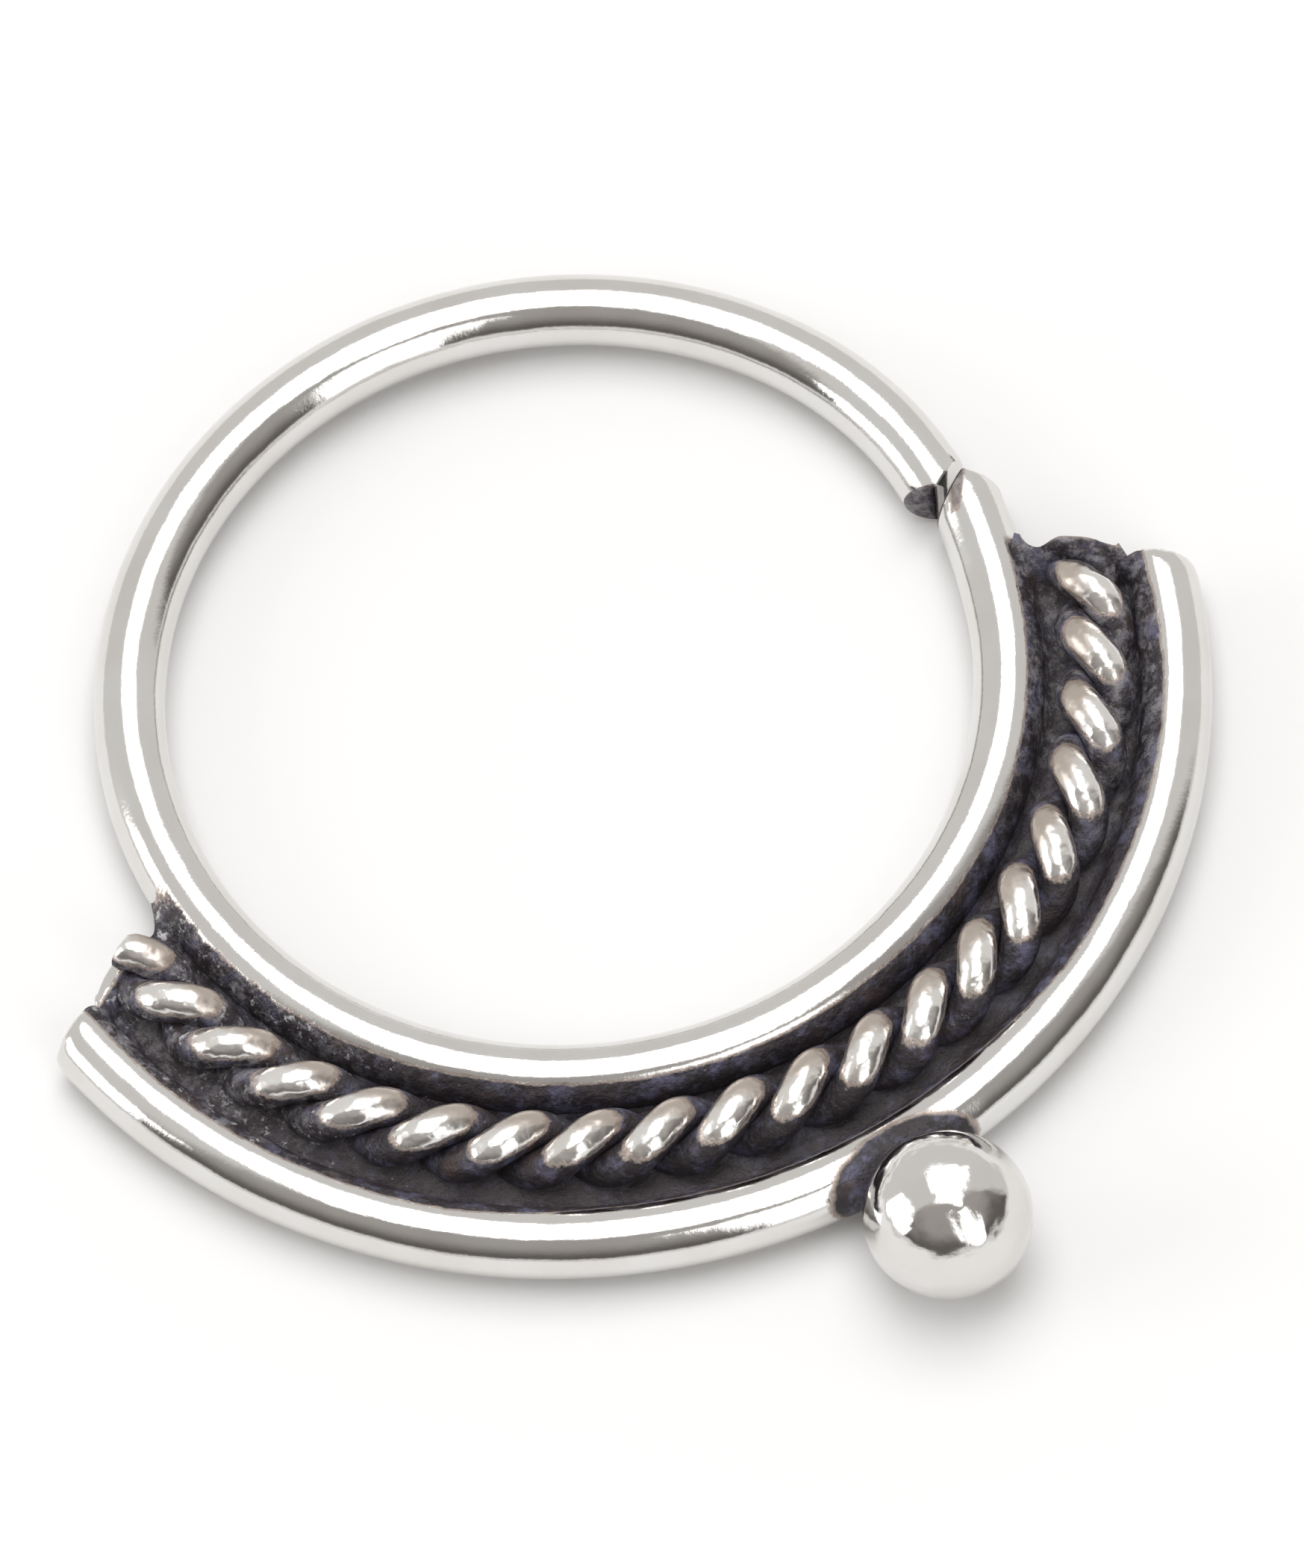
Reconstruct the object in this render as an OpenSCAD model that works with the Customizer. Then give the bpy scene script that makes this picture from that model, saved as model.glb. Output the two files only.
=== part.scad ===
// Septum ring: a round wire loop with one slit, and a crescent panel soldered along its front.
// The panel is a back plate with a twisted wire on it and a round wire along its outer edge.
// One ball is soldered on the outside of the outer wire.
// All sizes are in millimetres and all angles in degrees.
// The ring lies in the XY plane, its centre is the origin, and the middle of the panel points to -Y.
// A bearing is an angle at the ring's centre, measured from the middle of the panel towards +X.

/* [Ring wire] */
// Inside diameter of the wearing hole
hole_d = 9; // [6:0.5:14]
// Diameter of the ring wire
ring_wire_d = 0.8; // [0.6:0.05:1.2]
// Bearing of the free end's ridge
free_end_at = 95.2; // [94.8:0.2:130]
// Slant of the free end's inner facet off the radius
free_inner_slant = 27; // [10:1:45]
// Slant of the free end's outer facet, which faces the other end
free_outer_slant = 30; // [26:1:45]
// How far the free end is sprung in off the circle
free_end_in = 0.12; // [0.1:0.01:0.3]
// Angle of the stretch over which the free end is bent in
free_bend_arc = 33; // [15:1:45]
// Bearing of the fixed end's ridge
fixed_end_at = 96; // [88:0.2:96.4]
// Slant of the fixed end's inner facet off the radius, which faces the free end
fixed_inner_slant = 30; // [26:1:45]
// Slant of the fixed end's outer facet
fixed_outer_slant = 42; // [10:1:50]
// How far the fixed end stands out off the circle
fixed_end_out = 0.12; // [0.1:0.01:0.2]
// Angle of the stretch over which the fixed end is bent out
fixed_bend_arc = 20; // [15:1:30]
// How far each end's ridge is off the wire's middle, which widens the facet that faces the other end
ridge_off = 0.06; // [0.02:0.01:0.1]

/* [Panel] */
// Bearing of the panel's end beside the slit, on the twisted wire's circle
panel_end_at = 81.2; // [50:0.2:84]
// Bearing of the panel's other end, counted the other way
panel_far_end_at = 79.8; // [50:0.2:84]
// Slant of the panel's end cuts off the radius
panel_end_slant = 20; // [0:1:35]
// Thickness of the back plate
plate_t = 0.25; // [0.2:0.05:0.5]
// How far the plate's underside stands below the wires
plate_proud = 0.05; // [0.02:0.01:0.15]
// Width of the plate's edges that run into the wires
plate_lap = 0.2; // [0.1:0.05:0.25]

/* [Outer wire] */
// Diameter of the outer wire
outer_wire_d = 0.8; // [0.6:0.05:1.2]
// Clear width of the channel between the two wires, without the outer wire's set
channel_w = 1.06; // [1:0.02:2]
// How far the outer wire's circle is set forward of the ring's centre
outer_set = 0.17; // [0:0.01:0.5]
// How far the outer wire's circle is set sideways, away from the slit
outer_side_set = 0.07; // [0:0.01:0.2]

/* [Twisted wire] */
// Diameter of each of the two strands
strand_d = 0.46; // [0.3:0.02:0.5]
// Distance between the strands' centres
strand_gap = 0.43; // [0.28:0.01:0.46]
// Length of one whole turn of the twist
twist_pitch = 1.67; // [1:0.01:3]
// Turn of the strands at the middle of the panel
twist_phase = 41; // [0:1:180]
// Gap between the ring wire and the twisted wire, seen from above
twist_clear = 0.135; // [0.05:0.005:0.3]
// How deep the twisted wire is seated in the solder on the plate
twist_seat = 0.05; // [0.02:0.01:0.1]
// Distance of the twisted wire's ends from the panel's end cuts
twist_end_back = 0.1; // [0.05:0.01:0.5]

/* [Ball] */
// Diameter of the ball
ball_d = 1.88; // [1:0.02:3]
// Bearing of the ball about the centre of the outer wire's circle
ball_at = 7.8; // [-60:0.2:60]
// How deep the ball is seated in the outer wire
ball_seat = 0.02; // [0.01:0.01:0.1]
// Diameter of the drop of solder between the ball and the outer wire
solder_d = 0.68; // [0.3:0.02:0.76]

/* [Hidden] */
$fn = 96;

silver = "silver";
oxide = "dimgray";

ring_wire_r = ring_wire_d / 2;
ring_r = hole_d / 2 + ring_wire_r;
outer_wire_r = outer_wire_d / 2;
outer_r = ring_r + ring_wire_r + channel_w + outer_wire_r;
outer_centre = [-outer_side_set, -outer_set, 0];

// The wires lie on one level, and the plate's underside is a little below them.
wire_bottom_z = -ring_wire_r;
plate_bottom_z = wire_bottom_z - plate_proud;
plate_top_z = plate_bottom_z + plate_t;
outer_wire_z = wire_bottom_z + outer_wire_r;

strand_r = strand_d / 2;
twist_out_r = (strand_gap + strand_d) / 2;
twist_r = ring_r + ring_wire_r + twist_clear + twist_out_r;
twist_z = plate_top_z + twist_out_r - twist_seat;

// Size that is larger than the whole ring
far = 4 * outer_r;

ball_r = ball_d / 2;
ball_z = plate_bottom_z + ball_r;
solder_r = solder_d / 2;

// Direction in the XY plane at a bearing, and the turn that takes +X to it
function heading(bearing) = [sin(bearing), -cos(bearing), 0];
function turn_of(bearing) = [0, 0, bearing - 90];

// Lengths that two pieces share at a joint are kept to a whole micron, so that they meet exactly.
function to_micron(x) = round(1000 * x) / 1000;

// A round wire of diameter d bent to an arc of radius r, counted counter-clockwise from +X
module wire_arc(d, r, start, angle) {
    rotate_extrude(start = start, angle = angle, $fn = 240)
        translate([r, 0]) circle(d = d);
}

// Everything on the panel's side of a slanted cut through a point of the twisted wire's circle
module cut_side(end_at, slant) {
    translate(twist_r * heading(end_at))
        rotate(turn_of(end_at - slant)) translate([-far / 2, -far, -far / 2]) cube(far);
}

// Everything between the panel's two slanted end cuts
module panel_wedge() {
    intersection() {
        cut_side(panel_end_at, panel_end_slant);
        mirror([1, 0, 0]) cut_side(panel_far_end_at, panel_end_slant);
    }
}

// Everything behind a chisel-shaped end with an upright ridge at the origin, which points to +Y and
// has one facet towards -X and one towards +X
module chisel(left_slant, right_slant) {
    left = [-far * cos(left_slant), -far * sin(left_slant)];
    right = [far * cos(right_slant), -far * sin(right_slant)];
    translate([0, 0, -far / 2])
        linear_extrude(height = far)
            polygon([[0, 0], left, [-far, -2 * far], [far, -2 * far], right]);
}

// The loop is built from its top to each end. Each half is a round arc and a slightly bent end,
// whose circle touches the round arc's circle where they join. A bend that turns by an angle about
// the ring's centre, and ends at radius end_r, has its centre a shift out from the ring's centre.
function bend_shift(turn, end_r) =
    to_micron((pow(ring_r, 2) - pow(end_r, 2)) / (2 * (ring_r - end_r * cos(turn))));
function bend_sweep(turn, end_r, shift) = atan2(end_r * sin(turn), end_r * cos(turn) - shift);

// Angles by which the wires run on past the loop's top and past a slanted cut before they are trimmed
past_top = 3;
past_cut = 12;

module free_half() {
    bend_from = free_end_at + free_bend_arc;
    end_r = ring_r - free_end_in;
    shift = bend_shift(free_bend_arc, end_r);
    sweep = bend_sweep(free_bend_arc, end_r, shift) + past_cut;
    ridge_r = end_r - ridge_off;
    intersection() {
        rotate(turn_of(bend_from)) {
            wire_arc(ring_wire_d, ring_r, 0, 180 + past_top - bend_from);
            intersection() {
                translate([shift, 0, 0]) wire_arc(ring_wire_d, ring_r - shift, 360 - sweep, sweep);
                rotate([0, 0, -free_bend_arc])
                    translate([ridge_r, 0, 0])
                        rotate([0, 0, 180]) chisel(free_outer_slant, free_inner_slant);
            }
        }
        translate([0, -far / 2, -far / 2]) cube(far);
    }
}

module fixed_half() {
    bend_from = fixed_end_at - fixed_bend_arc;
    round_arc = bend_from + 180 + past_top;
    end_r = ring_r + fixed_end_out;
    shift = bend_shift(fixed_bend_arc, end_r);
    sweep = bend_sweep(fixed_bend_arc, end_r, shift) + past_cut;
    ridge_r = end_r + ridge_off;
    difference() {
        rotate(turn_of(bend_from)) {
            wire_arc(ring_wire_d, ring_r, 360 - round_arc, round_arc);
            intersection() {
                translate([shift, 0, 0]) wire_arc(ring_wire_d, ring_r - shift, 0, sweep);
                rotate([0, 0, fixed_bend_arc])
                    translate([ridge_r, 0, 0]) chisel(fixed_inner_slant, fixed_outer_slant);
            }
        }
        translate([0, ring_r / 2, -far / 2]) cube(far);
    }
}

module ring_wire() {
    color(silver) {
        free_half();
        fixed_half();
    }
}

// The crescent plate that joins the two wires and carries the twisted wire
module back_plate() {
    color(oxide)
        intersection() {
            translate([0, 0, plate_bottom_z])
                linear_extrude(height = plate_t)
                    difference() {
                        translate(outer_centre) circle(r = outer_r - outer_wire_r + plate_lap, $fn = 240);
                        circle(r = ring_r + ring_wire_r - plate_lap, $fn = 240);
                    }
            panel_wedge();
        }
}

// The round wire along the panel's outer edge, cut in line with the plate's ends
module outer_wire() {
    color(silver)
        intersection() {
            translate(outer_centre + [0, 0, outer_wire_z])
                rotate(turn_of(-panel_far_end_at - past_cut))
                    wire_arc(outer_wire_d, outer_r, 0, panel_far_end_at + panel_end_at + 2 * past_cut);
            panel_wedge();
        }
}

// Outline of the two strands side by side, as one closed ring of points around their middle
strand_pts = 9;
meet = acos(strand_gap / strand_d);
function strand_point(i, side) =
    let (a = (180 - meet) * (2 * i / strand_pts - 1))
    side * [strand_gap / 2 + strand_r * cos(a), strand_r * sin(a)];
pair_outline = [for (side = [1, -1]) for (i = [0 : strand_pts - 1]) strand_point(i, side)];

function turned(p, a) = [p[0] * cos(a) - p[1] * sin(a), p[0] * sin(a) + p[1] * cos(a)];

// The twisted wire, swept along its circle with the outline turning as it goes
steps_a_turn = 12;
twist_back = twist_end_back / twist_r * 180 / PI;
twist_start_at = twist_back - panel_far_end_at;
twist_arc = panel_end_at - twist_back - twist_start_at;
twist_steps = ceil(twist_arc * PI / 180 * twist_r / twist_pitch * steps_a_turn);

// Share of the full outline that each section keeps, so that both ends are rounded off
end_shares = [0.5, 0.86];
function end_share(i) = let (k = min(i, twist_steps - i)) k < len(end_shares) ? end_shares[k] : 1;

function twist_section(i) =
    let (bearing = twist_start_at + twist_arc * i / twist_steps,
         spin = twist_phase + 360 * bearing * PI / 180 * twist_r / twist_pitch)
    [for (p = pair_outline)
        let (q = end_share(i) * turned(p, spin))
        (twist_r + q[0]) * heading(bearing) + [0, 0, twist_z + q[1]]];

module twisted_wire() {
    n = len(pair_outline);
    points = [for (i = [0 : twist_steps]) each twist_section(i)];
    sides = [for (i = [0 : twist_steps - 1]) for (j = [0 : n - 1])
        let (a = i * n + j, b = i * n + (j + 1) % n)
        each [[a, b, a + n], [b, b + n, a + n]]];
    start_cap = [for (j = [n - 1 : -1 : 0]) j];
    end_cap = [for (j = [0 : n - 1]) twist_steps * n + j];
    color(silver) polyhedron(points = points, faces = concat(sides, [start_cap], [end_cap]));
}

// The ball stands on the same level as the plate and touches the outer wire
ball_rise = ball_z - outer_wire_z;
ball_reach = sqrt(pow(ball_r + outer_wire_r - ball_seat, 2) - pow(ball_rise, 2));
ball_centre = outer_centre + (outer_r + ball_reach) * heading(ball_at) + [0, 0, ball_z];
wire_centre = outer_centre + outer_r * heading(ball_at) + [0, 0, outer_wire_z];

module ball() {
    color(silver) translate(ball_centre) sphere(d = ball_d);
}

// The drop of solder in the corner between the ball and the outer wire
module solder_drop() {
    share = outer_wire_r / (ball_r + outer_wire_r);
    color(oxide)
        translate(wire_centre + share * (ball_centre - wire_centre))
            sphere(r = solder_r);
}

// All pieces are soldered together, so they are one solid
module septum_ring() {
    ring_wire();
    back_plate();
    outer_wire();
    twisted_wire();
    ball();
    solder_drop();
}

septum_ring();
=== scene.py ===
"""Dresses the septum ring: polished silver wires, a blackened crescent, a twisted wire and a ball."""

import logging
import math
from dataclasses import dataclass
from enum import Enum
from typing import Callable

import bmesh
import bpy
from bmesh.types import BMEdge, BMFace, BMVert
from bpy.types import Material, Node, NodeSocket, Object, World
from mathutils import Matrix, Vector, noise


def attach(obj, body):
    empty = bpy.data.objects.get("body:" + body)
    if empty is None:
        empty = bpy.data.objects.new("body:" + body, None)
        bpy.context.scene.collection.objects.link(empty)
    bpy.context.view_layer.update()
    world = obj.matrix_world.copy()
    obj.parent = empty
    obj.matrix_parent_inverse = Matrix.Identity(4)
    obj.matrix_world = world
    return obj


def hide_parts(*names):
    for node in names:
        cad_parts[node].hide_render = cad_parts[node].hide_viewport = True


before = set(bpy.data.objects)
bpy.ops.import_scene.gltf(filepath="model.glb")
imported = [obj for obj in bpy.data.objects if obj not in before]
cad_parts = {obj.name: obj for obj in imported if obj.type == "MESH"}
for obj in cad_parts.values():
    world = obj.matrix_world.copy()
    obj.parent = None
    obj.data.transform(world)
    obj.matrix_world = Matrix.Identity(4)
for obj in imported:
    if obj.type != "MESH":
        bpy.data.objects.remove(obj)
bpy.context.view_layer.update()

NODE = "septum_ring"
MM = 0.001
UP = Vector((0.0, 0.0, 1.0))
ORIGIN = Vector((0.0, 0.0, 0.0))
LOG = logging.getLogger("septum_ring")

Colour = tuple[float, float, float, float]
Pair = tuple[float, float]


class Slot(Enum):
    """The record's material slots."""

    SILVER = "silver"
    OXIDISED = "oxidised_silver"


def heading(bearing: float) -> Vector:
    """Direction in the ring's plane at a bearing, in degrees from the panel's middle towards +X."""
    turn = math.radians(bearing)
    return Vector((math.sin(turn), -math.cos(turn), 0.0))


def placed(origin: Vector, x_axis: Vector, y_axis: Vector, z_axis: Vector) -> Matrix:
    """The matrix from a shape's own axes to its place.

    Args:
        origin: Where the shape's origin goes.
        x_axis: Where its X axis points.
        y_axis: Where its Y axis points.
        z_axis: Where its Z axis points.

    Returns:
        The matrix.
    """
    return Matrix.Translation(origin) @ Matrix((x_axis, y_axis, z_axis)).transposed().to_4x4()


@dataclass(frozen=True)
class Layout:
    """The ring's driving sizes, in millimetres and degrees, that its pieces share."""

    hole_d: float = 9.0
    ring_wire_d: float = 0.8
    outer_wire_d: float = 0.8
    channel_w: float = 1.06
    outer_set: float = 0.17
    outer_side_set: float = 0.07
    panel_end_at: float = 81.2
    panel_far_end_at: float = 79.8
    panel_end_slant: float = 20.0
    plate_t: float = 0.25
    plate_proud: float = 0.05
    twist_out_r: float = 0.445
    twist_clear: float = 0.135
    twist_seat: float = 0.05
    ball_d: float = 1.88
    ball_at: float = 7.8
    ball_seat: float = 0.02

    @property
    def ring_wire_r(self) -> float:
        """Radius of the ring wire."""
        return self.ring_wire_d / 2

    @property
    def ring_r(self) -> float:
        """Radius of the ring wire's centre line."""
        return self.hole_d / 2 + self.ring_wire_r

    @property
    def outer_wire_r(self) -> float:
        """Radius of the outer wire."""
        return self.outer_wire_d / 2

    @property
    def outer_r(self) -> float:
        """Radius of the outer wire's centre line."""
        return self.ring_r + self.ring_wire_r + self.channel_w + self.outer_wire_r

    @property
    def outer_centre(self) -> Vector:
        """Centre of the outer wire's circle."""
        return Vector((-self.outer_side_set, -self.outer_set, 0.0))

    @property
    def plate_bottom_z(self) -> float:
        """Level of the plate's underside, which is also the floor's."""
        return -self.ring_wire_r - self.plate_proud

    @property
    def plate_top_z(self) -> float:
        """Level of the plate's upper face."""
        return self.plate_bottom_z + self.plate_t

    @property
    def twist_r(self) -> float:
        """Radius of the twisted wire's centre line."""
        return self.ring_r + self.ring_wire_r + self.twist_clear + self.twist_out_r

    @property
    def twist_z(self) -> float:
        """Level of the twisted wire's centre line."""
        return self.plate_top_z + self.twist_out_r - self.twist_seat

    @property
    def ball_r(self) -> float:
        """Radius of the ball."""
        return self.ball_d / 2

    @property
    def wire_at_ball(self) -> Vector:
        """Point of the outer wire's centre line next to the ball."""
        return self.outer_centre + self.outer_r * heading(self.ball_at)

    @property
    def ball_centre(self) -> Vector:
        """Centre of the ball, which stands on the floor and touches the outer wire.

        Returns:
            The centre, in millimetres.
        """
        rise = self.plate_bottom_z + self.ball_r
        reach = math.sqrt((self.ball_r + self.outer_wire_r - self.ball_seat) ** 2 - rise**2)
        return self.wire_at_ball + reach * heading(self.ball_at) + rise * UP

    def end_at(self, side: int) -> float:
        """Bearing of one of the panel's ends, counted from its middle: 1 is the slit's side."""
        return self.panel_end_at if side > 0 else self.panel_far_end_at

    def end_cut(self, side: int) -> tuple[Vector, Vector]:
        """One of the panel's two slanted end cuts.

        Args:
            side: 1 for the slit's side, -1 for the other.

        Returns:
            A point on the cut and its normal, which points away from the panel.
        """
        point = self.twist_r * heading(side * self.end_at(side))
        along = heading(side * (self.end_at(side) - self.panel_end_slant))
        return point, side * UP.cross(along)


LAYOUT = Layout()


@dataclass(frozen=True)
class Arc:
    """A round arc in the ring's plane, from one bearing to another, in millimetres and degrees."""

    centre: Vector
    radius: float
    start: float
    end: float

    def section(self, bearing: float) -> Matrix:
        """Place of the wire's section at a bearing.

        Args:
            bearing: The bearing about the arc's centre.

        Returns:
            The matrix from the section's own plane, whose X axis points out from the centre.
        """
        out = heading(bearing)
        return placed(self.centre + self.radius * out, out, UP, out.cross(UP))


class Piece:
    """One mesh under construction in millimetres, which ends as an object in metres."""

    weld = 0.015
    insets = 3
    smoothing = 8
    sharp = 0.6

    def __init__(self, name: str) -> None:
        """Starts an empty mesh.

        Args:
            name: The finished piece's name.
        """
        self.name = name
        self.bm = bmesh.new()

    def ring(self, radius: float, sides: int, place: Matrix) -> list[BMEdge]:
        """Adds an open ring of edges.

        Args:
            radius: The ring's radius.
            sides: How many edges it has.
            place: Where its centre and plane go.

        Returns:
            The ring's edges.
        """
        made = bmesh.ops.create_circle(
            self.bm, cap_ends=False, segments=sides, radius=radius, matrix=place
        )
        return list({edge for vert in made["verts"] for edge in vert.link_edges})

    def spin(self, edges: list[BMEdge], arc: Arc, step: float) -> list[BMEdge]:
        """Sweeps a ring of edges along an arc.

        Args:
            edges: The ring to sweep, at the arc's start.
            arc: The arc.
            step: About how many degrees each step takes.

        Returns:
            The ring's edges at the arc's end.
        """
        verts = list({vert for edge in edges for vert in edge.verts})
        turn = arc.end - arc.start
        made = bmesh.ops.spin(
            self.bm,
            geom=verts + edges,
            cent=arc.centre,
            axis=UP,
            angle=math.radians(turn),
            steps=max(1, round(abs(turn) / step)),
            use_merge=False,
            use_duplicate=False,
        )
        return [item for item in made["geom_last"] if isinstance(item, BMEdge)]

    def extrude(self, edges: list[BMEdge], move: Matrix) -> list[BMEdge]:
        """Extrudes a ring of edges and moves the new ring.

        Args:
            edges: The ring to extrude.
            move: The move from the old ring to the new one.

        Returns:
            The new ring's edges.
        """
        made = bmesh.ops.extrude_edge_only(self.bm, edges=edges)["geom"]
        verts = {item for item in made if isinstance(item, BMVert)}
        bmesh.ops.transform(self.bm, matrix=move, verts=list(verts))
        return [item for item in made if isinstance(item, BMEdge) and verts.issuperset(item.verts)]

    def cut(
        self, point: Vector, normal: Vector, faces: list[BMFace] | None = None
    ) -> list[BMFace]:
        """Cuts off what lies beyond a plane and closes the cut with a flat face.

        Args:
            point: A point on the plane.
            normal: The plane's normal, towards what is cut off.
            faces: The faces that the cut reaches, or none for the whole mesh.

        Returns:
            The flat faces that close the cut.
        """
        faces = faces or list(self.bm.faces)
        edges = {edge for face in faces for edge in face.edges}
        verts = {vert for face in faces for vert in face.verts}
        made = bmesh.ops.bisect_plane(
            self.bm,
            geom=[*verts, *edges, *faces],
            dist=1e-6,
            plane_co=point,
            plane_no=normal,
            clear_outer=True,
        )
        rim = [item for item in made["geom_cut"] if isinstance(item, BMEdge)]
        kept = list({vert for edge in rim for vert in edge.verts})
        near = bmesh.ops.find_doubles(
            self.bm, verts=list(self.bm.verts), keep_verts=kept, dist=self.weld
        )
        bmesh.ops.weld_verts(self.bm, targetmap=near["targetmap"])
        return bmesh.ops.holes_fill(self.bm, edges=rim)["faces"]

    def close_ends(self) -> None:
        """Closes the open ends with flat faces."""
        bmesh.ops.holes_fill(self.bm, edges=[edge for edge in self.bm.edges if edge.is_boundary])

    def round_end(self, cap: BMFace, width: float, rings: int) -> None:
        """Rounds the rim of an end's flat face by smoothing it with the wall next to it.

        Args:
            cap: The flat face.
            width: How far the rounding reaches into the face.
            rings: How many rings of the wall's points the rounding reaches.
        """
        near = set(cap.verts)
        for _ in range(rings):
            near |= {edge.other_vert(vert) for vert in near for edge in vert.link_edges}
        for _ in range(self.insets):
            bmesh.ops.inset_individual(
                self.bm, faces=[cap], thickness=width / self.insets, use_even_offset=False
            )
            near |= set(cap.verts)
        bmesh.ops.poke(self.bm, faces=[cap])
        self.smooth(near, self.smoothing)

    def smooth(self, verts: set[BMVert], rounds: int) -> None:
        """Smooths some of the points.

        Args:
            verts: The points.
            rounds: How many times they are smoothed.
        """
        for _ in range(rounds):
            bmesh.ops.smooth_vert(
                self.bm,
                verts=list(verts),
                factor=0.5,
                use_axis_x=True,
                use_axis_y=True,
                use_axis_z=True,
            )

    def break_edges(self, width: float) -> None:
        """Takes the sharpness off every edge, as a last stroke of the file does.

        Args:
            width: Width of the narrow face that replaces an edge.
        """
        self.bm.normal_update()
        bmesh.ops.bevel(
            self.bm,
            geom=[edge for edge in self.bm.edges if edge.calc_face_angle(0) > self.sharp],
            offset=width,
            segments=2,
            profile=0.5,
            affect="EDGES",
            material=-1,
        )
        ends = [face for face in self.bm.faces if len(face.verts) > 4]
        bmesh.ops.poke(self.bm, faces=ends)

    def roughen(self, height: float, grain: float, seed: Vector) -> None:
        """Moves every point a little along its normal, as hand work leaves a surface.

        Args:
            height: The greatest move.
            grain: Size of the unevenness.
            seed: Where in the noise this piece lies.
        """
        self.bm.normal_update()
        for vert in self.bm.verts:
            vert.co += vert.normal * height * noise.noise(vert.co / grain + seed)

    def finish(self, material: Material, slot: Slot) -> Object:
        """Turns the mesh into a piece that stands for the ring's solid.

        Args:
            material: The piece's material.
            slot: The record's slot that it takes its finish from; not used.

        Returns:
            The finished object.
        """
        bmesh.ops.recalc_face_normals(self.bm, faces=self.bm.faces)
        bmesh.ops.scale(self.bm, vec=Vector((MM, MM, MM)), verts=self.bm.verts)
        for face in self.bm.faces:
            face.smooth = True
        mesh = bpy.data.meshes.new(self.name)
        self.bm.to_mesh(mesh)
        self.bm.free()
        mesh.materials.append(material)
        piece = bpy.data.objects.new(self.name, mesh)
        bpy.context.scene.collection.objects.link(piece)
        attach(piece, "root")
        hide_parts(NODE)
        LOG.info("%s: %d faces", self.name, len(mesh.polygons))
        return piece


class Value:
    """A number that varies over a surface, with Python's operators for its Math nodes."""

    def __init__(self, shader: "Shader", socket: NodeSocket) -> None:
        """Wraps a socket.

        Args:
            shader: The shader that the socket belongs to.
            socket: The output socket that gives the number.
        """
        self.shader = shader
        self.socket = socket

    def _math(self, operation: str, *terms: "Value | float") -> "Value":
        """Adds a Math node whose inputs are the terms in order."""
        values = {i: term for i, term in enumerate(terms)}
        return self.shader.value("ShaderNodeMath", {"operation": operation}, values)

    def __add__(self, other: "Value | float") -> "Value":
        """Sum."""
        return self._math("ADD", self, other)

    __radd__ = __add__

    def __sub__(self, other: "Value | float") -> "Value":
        """Difference."""
        return self._math("SUBTRACT", self, other)

    def __rsub__(self, other: float) -> "Value":
        """Difference from a number."""
        return self._math("SUBTRACT", other, self)

    def __mul__(self, other: "Value | float") -> "Value":
        """Product."""
        return self._math("MULTIPLY", self, other)

    __rmul__ = __mul__

    def __pow__(self, power: float) -> "Value":
        """Power."""
        return self._math("POWER", self, power)

    def __abs__(self) -> "Value":
        """Size without its sign."""
        return self._math("ABSOLUTE", self)

    def most(self, other: "Value | float") -> "Value":
        """The larger of two numbers."""
        return self._math("MAXIMUM", self, other)

    def angle(self, other: "Value") -> "Value":
        """Angle in degrees whose sine goes with this number and whose cosine goes with the other."""
        return self._math("ARCTAN2", self, other) * math.degrees(1)

    def rise(self, low: float, high: float) -> "Value":
        """Smooth step between two levels.

        Args:
            low: The level at which it is 0.
            high: The level at which it is 1, which may also be the smaller one.

        Returns:
            The step.
        """
        step = self.shader.value(
            "ShaderNodeMapRange",
            {"interpolation_type": "SMOOTHSTEP"},
            {"Value": self, "From Min": min(low, high), "From Max": max(low, high)},
        )
        return step if low < high else 1 - step


Input = Value | NodeSocket | float | tuple


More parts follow.
